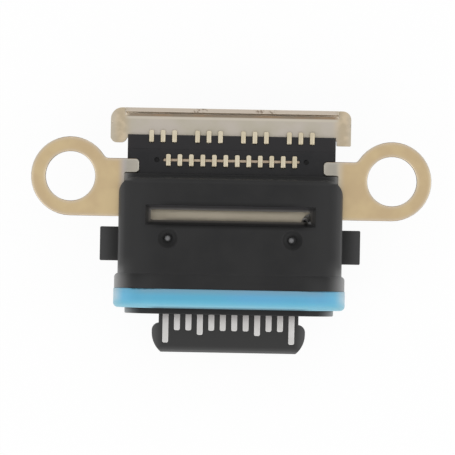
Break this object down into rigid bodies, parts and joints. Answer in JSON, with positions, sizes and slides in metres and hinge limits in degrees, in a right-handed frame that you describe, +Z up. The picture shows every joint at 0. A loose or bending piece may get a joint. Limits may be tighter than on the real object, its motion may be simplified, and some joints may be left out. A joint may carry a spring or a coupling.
{
  "type": "charging port",
  "caption": "Sealed charging port with a contact tongue in a hollow nose, a ring seal, a bracket with screw ears and a rear solder zone.",
  "frame": {"origin": "midway between the two screw holes, on the underside of the ears", "axes": "+X across the port along the line of the screw holes, +Y to the rear, away from the tongue's tip, +Z up along the screws"},
  "size_m": [0.0174, 0.0106, 0.0043],
  "materials": {
    "housing_plastic": "black glass-filled moulding, satin",
    "core_plastic": "black moulded insulator, fine satin",
    "seal_silicone": "blue silicone, soft sheen",
    "bracket_gold": "pale gold plated sheet, solder tabs bright tin",
    "shield_steel": "warm plated steel sheet, satin",
    "contact_plating": "bright plated contact strip, gold tails and pale blades",
    "mid_plate_metal": "plated sheet, satin",
    "ground_metal": "plated sheet, satin"
  },
  "bodies": {
    "root": {"housing": "housing_plastic", "seal_ring": "seal_silicone", "mounting_bracket": "bracket_gold", "rear_shield": "shield_steel", "upper_insulator": "core_plastic", "lower_insulator": "core_plastic", "mid_plate": "mid_plate_metal", "upper_ground_plate": "ground_metal", "lower_ground_plate": "ground_metal", "upper_contact_1": "contact_plating", "upper_contact_2": "contact_plating", "upper_contact_3": "contact_plating", "upper_contact_4": "contact_plating", "upper_contact_5": "contact_plating", "upper_contact_6": "contact_plating", "upper_contact_7": "contact_plating", "upper_contact_8": "contact_plating", "upper_contact_9": "contact_plating", "upper_contact_10": "contact_plating", "upper_contact_11": "contact_plating", "upper_contact_12": "contact_plating", "lower_contact_1": "contact_plating", "lower_contact_2": "contact_plating", "lower_contact_3": "contact_plating", "lower_contact_4": "contact_plating", "lower_contact_5": "contact_plating", "lower_contact_6": "contact_plating", "lower_contact_7": "contact_plating", "lower_contact_8": "contact_plating", "lower_contact_9": "contact_plating", "lower_contact_10": "contact_plating", "lower_contact_11": "contact_plating", "lower_contact_12": "contact_plating"}
  },
  "joints": []
}
